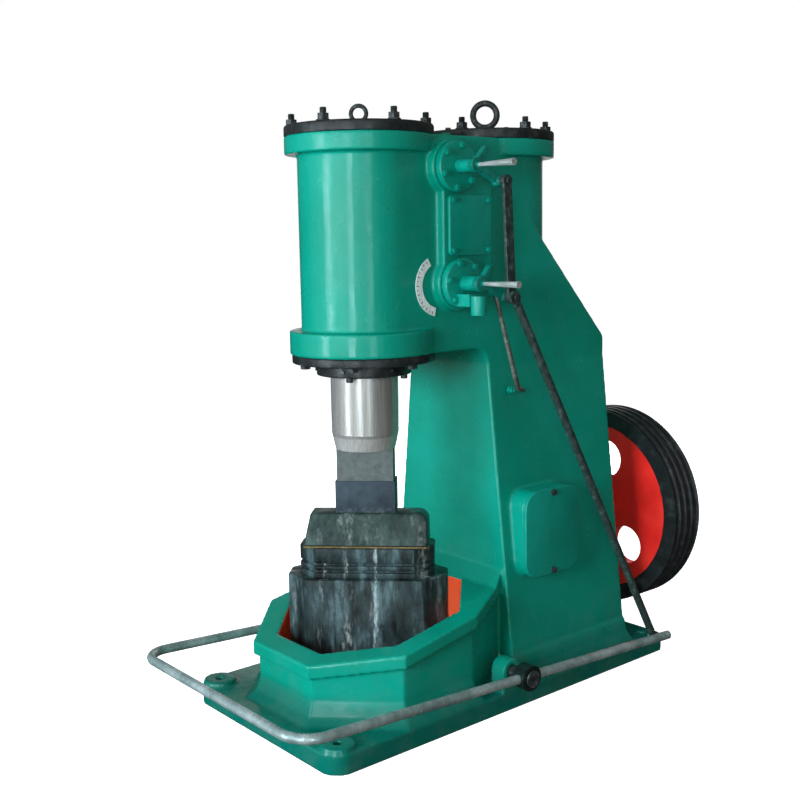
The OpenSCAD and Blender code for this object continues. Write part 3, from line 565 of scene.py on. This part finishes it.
for node, width in (("front_cylinder_cover", 0.003), ("rear_cylinder_cover", 0.003), ("gland_plate", 0.004),
                    ("gland_ring", 0.004)):
    bevelled(node, "frame", BLACK, width)
for node, width in (("upper_valve_cover", 0.005), ("lower_valve_cover", 0.005), ("valve_chest_cover", 0.003),
                    ("hatch_cover", 0.003), ("bearing_cap", 0.005), ("frame_plug", 0.002)):
    bevelled(node, "frame", GREEN_PARTS, width)
bevelled("valve_stop", "frame", GREEN_PARTS, 0.003)
bevelled("upper_die", "ram", SLATE, 0.003)
bevelled("lower_die", "frame", DIE, 0.008)
bevelled("sow_block", "frame", ANVIL, 0.002)
bevelled("anvil_block", "frame", ANVIL, 0.006)
bevelled("upper_crank", "upper_lever", SHADED_CRANK, 0.0025)
bevelled("lower_crank", "lower_lever", SHADED_CRANK, 0.0025)
bevelled("valve_link", "valve_link", ROD, 0.0015)
thickened("hand_lever", "lower_lever", BAR, 0.002, 0.05)

for node, material in (("ram", RAM), ("die_shim", BRASS), ("front_eyebolt", BOLT), ("rear_eyebolt", BOLT),
                       ("upper_valve_spindle", LEVER), ("lower_valve_spindle", LEVER), ("pedal_rod", ROD),
                       ("treadle", PIPE), ("right_pivot_pin", BOLT), ("left_pivot_pin", BOLT),
                       ("crankshaft", BOLT), ("flywheel", WHEEL), ("shaft_nut", BOLT)):
    NODES[node].data.materials.clear()
    NODES[node].data.materials.append(material)


# Fasteners

COVER_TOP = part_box("front_cylinder_cover")[1].z
REAR_Y = sum(c.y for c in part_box("rear_cylinder_cover")) / 2
STUD_REACH, STUD_D, STUD_STAND = 0.218, 0.022, 0.018


def cover_studs(bm, centre_y, first):
    for x, y, angle in ring_of(6, first, STUD_REACH):
        stud_and_nut(bm, Vector((x, centre_y + y, COVER_TOP)), Z, STUD_D, STUD_STAND, angle)


piece_of("front_cover_studs", BOLT, "frame", lambda bm: cover_studs(bm, 0.0, -8.2))
piece_of("rear_cover_studs", BOLT, "frame", lambda bm: cover_studs(bm, REAR_Y, -5.5))


def gland_bolts(bm):
    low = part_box("gland_plate")[0].z
    for x, y, angle in ring_of(6, 12, 0.204):
        bolt(bm, Vector((x, y, low)), -Z, 0.020, angle)
    ring_low, ring_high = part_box("gland_ring")
    for x, y, _ in ring_of(4, -58, 0.140):
        socket_screw(bm, Vector((x, y, ring_low.z)), -Z, 0.014)
    side = (ring_high.x - ring_low.x) / 2
    middle_z = (ring_low.z + ring_high.z) / 2
    for x, y, _ in ring_of(6, -64, side - 0.001):
        bolt(bm, Vector((x, y, middle_z)), Vector((x, y, 0)).normalized(), 0.009, flat=False)


piece_of("gland_bolts", BOLT, "frame", gland_bolts)


def valve_bolts(bm):
    for node, first in (("upper_valve_cover", 20), ("lower_valve_cover", 50)):
        low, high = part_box(node)
        middle = (low + high) / 2
        for y, z, angle in ring_of(6, first, 0.068):
            bolt(bm, Vector((high.x, middle.y + y, middle.z + z)), X, 0.012, angle)


piece_of("valve_bolts", GREEN_PARTS, "frame", valve_bolts)


CHEST_INSET, HATCH_INSET, CAP_INSET = 0.016, 0.013, 0.026


def chest_bolts(bm):
    low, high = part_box("valve_chest_cover")
    for y in (low.y + CHEST_INSET, high.y - CHEST_INSET):
        for z in (low.z + CHEST_INSET, high.z - CHEST_INSET):
            bolt(bm, Vector((high.x, y, z)), X, 0.010, y + z)


piece_of("chest_bolts", GREEN_PARTS, "frame", chest_bolts)


def hatch_bolts(bm):
    low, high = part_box("hatch_cover")
    middle = (low + high) / 2
    for z in (low.z + HATCH_INSET, high.z - HATCH_INSET):
        bolt(bm, Vector((high.x, middle.y, z)), X, 0.012)


piece_of("hatch_bolts", BOLT, "frame", hatch_bolts)


def cap_bolts(bm):
    low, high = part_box("bearing_cap")
    middle = (low + high) / 2
    for x, z, angle in ring_of(6, 30, (high.x - low.x) / 2 - CAP_INSET):
        bolt(bm, Vector((middle.x + x, high.y, middle.z + z)), Y, 0.020, angle)


piece_of("cap_bolts", BOLT, "frame", cap_bolts)


PLUG_AT = Vector((0.221, 0.468, 1.059))


def column_plug(bm):
    """Painted hexagon plug on the column's side, and its sealing washer."""
    place = facing(X, PLUG_AT)
    seal, head, tip = 0.006, 0.020, 0.026
    washer(bm, place, 0.030, seal)
    hexagon(bm, place, 0.022, seal, head)
    lathe(bm, place, 20, (0.007, head), (0.007, tip - 0.002), (0.005, tip), (0, tip))


piece_of("column_plug", GREEN_PARTS, "frame", column_plug)


# Index plate

PLATE_X, PLATE_Y, PLATE_Z, PLATE_R, PLATE_W = 0.2045, 0.157, 1.432, 0.087, 0.028
PLATE_FROM, PLATE_TO, PLATE_T = 118, 258, 0.002
PLATE_IN, PLATE_OUT = PLATE_R - PLATE_W / 2, PLATE_R + PLATE_W / 2
TICKS, TICK_MARGIN, TICK_HALF = 15, 8, 0.7


def sector(bm, inner, outer, first, last, low, high, steps):
    """A flat arc on the machine's side, between two radii and two heights along X."""
    rings = []
    for k in range(steps + 1):
        angle = math.radians(first + (last - first) * k / steps)
        out = Vector((0, math.cos(angle), math.sin(angle)))
        middle = Vector((0, PLATE_Y, PLATE_Z))
        rings.append([bm.verts.new(middle + out * radius + X * height)
                      for radius, height in ((inner, low), (outer, low), (outer, high), (inner, high))])
    join_rings(bm, rings)
    bm.faces.new(rings[0])
    bm.faces.new(rings[-1])


def index_plate(bm):
    sector(bm, PLATE_IN, PLATE_OUT, PLATE_FROM, PLATE_TO, PLATE_X - 0.001, PLATE_X + PLATE_T, 40)


def index_ticks(bm):
    first, last, outer = PLATE_FROM + TICK_MARGIN, PLATE_TO - TICK_MARGIN, PLATE_OUT - 0.003
    for k in range(TICKS):
        angle = first + (last - first) * k / (TICKS - 1)
        inner = outer - (0.011 if k % 2 == 0 else 0.006)
        sector(bm, inner, outer, angle - TICK_HALF, angle + TICK_HALF, PLATE_X + PLATE_T * 0.5,
               PLATE_X + PLATE_T + 0.0004, 2)


piece_of("index_plate", PLATE, "frame", index_plate)
piece_of("index_ticks", ROD, "frame", index_ticks)


# Stage, light and camera

DARK_DISC_R, FLOOR_GLOW = 0.36, 0.78


def stage_floor():
    """White floor, dark and without glow in a disc under the base plate."""
    look = Look("pale_floor", Specular_IOR_Level=0.1, Emission_Color=(1.0, 1.0, 1.0, 1.0))
    colour = look.ramp(look.noise(1.5, 3.0), (0.35, srgb(236, 237, 236)), (0.65, srgb(244, 244, 243)))
    open_floor = look.band(look.reach(look.part("X"), look.part("Y")), DARK_DISC_R, DARK_DISC_R + 0.01)
    colour = look.mix(open_floor, srgb(62, 60, 56), colour)
    look.feed("Emission Strength", look.times(open_floor, FLOOR_GLOW))
    bm = bmesh.new()
    bmesh.ops.create_grid(bm, x_segments=8, y_segments=8, size=30)
    mesh = bpy.data.meshes.new("floor")
    bm.to_mesh(mesh)
    bm.free()
    floor = new_object("floor", mesh, look.finish(colour, 0.8))
    floor.visible_diffuse = floor.visible_glossy = floor.visible_shadow = False


def area_light(name, at, aim, wide, high, power, colour=(1, 1, 1), unseen=()):
    """A soft light, left out for the kinds of ray that unseen names."""
    data = bpy.data.lights.new(name, "AREA")
    data.shape, data.size, data.size_y = "RECTANGLE", wide, high
    data.energy, data.color = power, colour
    lamp = bpy.data.objects.new(name, data)
    bpy.context.scene.collection.objects.link(lamp)
    lamp.location = at
    lamp.rotation_euler = (Vector(aim) - Vector(at)).to_track_quat("-Z", "Y").to_euler()
    for ray in unseen:
        setattr(lamp, "visible_" + ray, False)
    return lamp


def shines_past(lamp, *names):
    """Lets a light fill the throat behind the ram and the anvil, which throw no shadow in it."""
    past = bpy.data.collections.new(lamp.name + "_past")
    for name in names:
        past.objects.link(bpy.data.objects[name])
    for item in past.collection_objects:
        item.light_linking.link_state = "EXCLUDE"
    lamp.light_linking.blocker_collection = past


def camera(at, yaw, pitch, roll, lens):
    """A camera that looks yaw degrees left of +Y and pitch degrees down."""
    yaw, pitch, roll = (math.radians(a) for a in (yaw, pitch, roll))
    ahead = Vector((-math.sin(yaw) * math.cos(pitch), math.cos(yaw) * math.cos(pitch), -math.sin(pitch)))
    right = Vector((math.cos(yaw), math.sin(yaw), 0))
    up = right.cross(ahead)
    tilted = math.cos(roll) * right + math.sin(roll) * up
    upright = -math.sin(roll) * right + math.cos(roll) * up
    data = bpy.data.cameras.new("camera")
    data.lens, data.sensor_width, data.sensor_fit = lens, 36, "HORIZONTAL"
    data.clip_end = 100
    eye = bpy.data.objects.new("camera", data)
    bpy.context.scene.collection.objects.link(eye)
    turn = Matrix((tilted, upright, -ahead)).transposed().to_4x4()
    eye.matrix_world = Matrix.Translation(at) @ turn
    bpy.context.scene.camera = eye


def studio_world(backdrop, ambient, front, upper, rear):
    """White behind the machine, even soft light round it, and a brighter front for gloss to mirror."""
    world = bpy.data.worlds.new("studio")
    world.use_nodes = True
    tree = world.node_tree

    def node(kind, inputs, out=0, **settings):
        return add_node(tree, kind, inputs, out, **settings)

    path = tree.nodes.new("ShaderNodeLightPath").outputs
    way = tree.nodes.new("ShaderNodeTexCoord").outputs["Generated"]
    ahead = node("VectorMath", {0: way, 1: FRONT_WAY}, out="Value", operation="DOT_PRODUCT")
    ahead = node("MapRange", {"Value": ahead, "From Min": 0.25, "From Max": 0.7})
    height = node("SeparateXYZ", {0: way}, out="Z")
    low = node("MapRange", {"Value": height, "From Min": -0.32, "From Max": -0.16})
    share = node("Math", {0: ahead, 1: low}, operation="MULTIPLY")
    behind = node("MapRange", {"Value": height, "From Min": 0.0, "From Max": 0.09, "To Min": rear,
                               "To Max": upper})
    gloss = node("Mix", {0: share, 2: behind, 3: front}, data_type="FLOAT")
    light = node("Mix", {0: path["Is Diffuse Ray"], 2: gloss, 3: ambient}, data_type="FLOAT")
    light = node("Mix", {0: path["Is Camera Ray"], 2: light, 3: backdrop}, data_type="FLOAT")
    sky = tree.nodes["Background"]
    sky.inputs["Color"].default_value = (1.0, 1.0, 1.0, 1.0)
    tree.links.new(light, sky.inputs["Strength"])
    bpy.context.scene.world = world


def strip(name, bearing, wide, power):
    """An upright strip light on the floor, mirrored by the paint and not lighting it otherwise."""
    angle = math.radians(bearing)
    middle = (STRIP_LOW + STRIP_TOP) / 2
    at = Vector((math.cos(angle) * STRIP_REACH, math.sin(angle) * STRIP_REACH, middle))
    area_light(name, at, (0, 0, middle), wide, STRIP_TOP - STRIP_LOW, power, COOL, ("diffuse",))


COOL, WARM = (0.86, 1.0, 1.15), (1.0, 0.98, 0.90)
FRONT_WAY = (0.22, -0.975, 0.0)
STRIP_REACH, STRIP_LOW, STRIP_TOP = 5.0, -0.5, 2.8
stage_floor()
area_light("left_key", (-0.95, -5.0, 1.9), (0, 0, 0.8), 1.6, 1.6, 170, COOL, ("glossy",))
right_key = area_light("right_key", (1.3, -5.0, 1.75), (0, 0.2, 0.8), 1.8, 1.6, 350, COOL, ("glossy",))
shines_past(right_key, "ram", "upper_die_edged", "lower_die_edged", "die_shim", "sow_block_edged",
            "anvil_block_edged")
area_light("camera_fill", (3.9, -2.9, 2.0), (0.2, 0.4, 0.8), 1.2, 1.2, 52, WARM, ("glossy",))
area_light("top", (1.0, 2.2, 4.8), (0.2, 0.6, 1.0), 2.4, 2.4, 45, COOL, ("glossy",))
area_light("rear_fill", (-3.6, 4.6, 2.6), (0, 0.4, 0.8), 2.4, 2.4, 190, unseen=("glossy", "camera"))
strip("left_strip", -98, 0.45, 52)
strip("middle_strip", -56, 0.40, 44)
strip("right_strip", -24, 0.30, 16)
area_light("rear_glow", (-3.2, 3.5, 1.5), (0.3, 0.3, 0.1), 4.0, 1.4, 12, unseen=("camera", "diffuse"))
studio_world(backdrop=1.0, ambient=0.34, front=0.55, upper=0.08, rear=0.02)
bpy.context.scene.view_settings.view_transform = "Standard"

camera((2.9360, -2.3099, 1.5917), 49.99, 8.27, -0.99, 50.53)
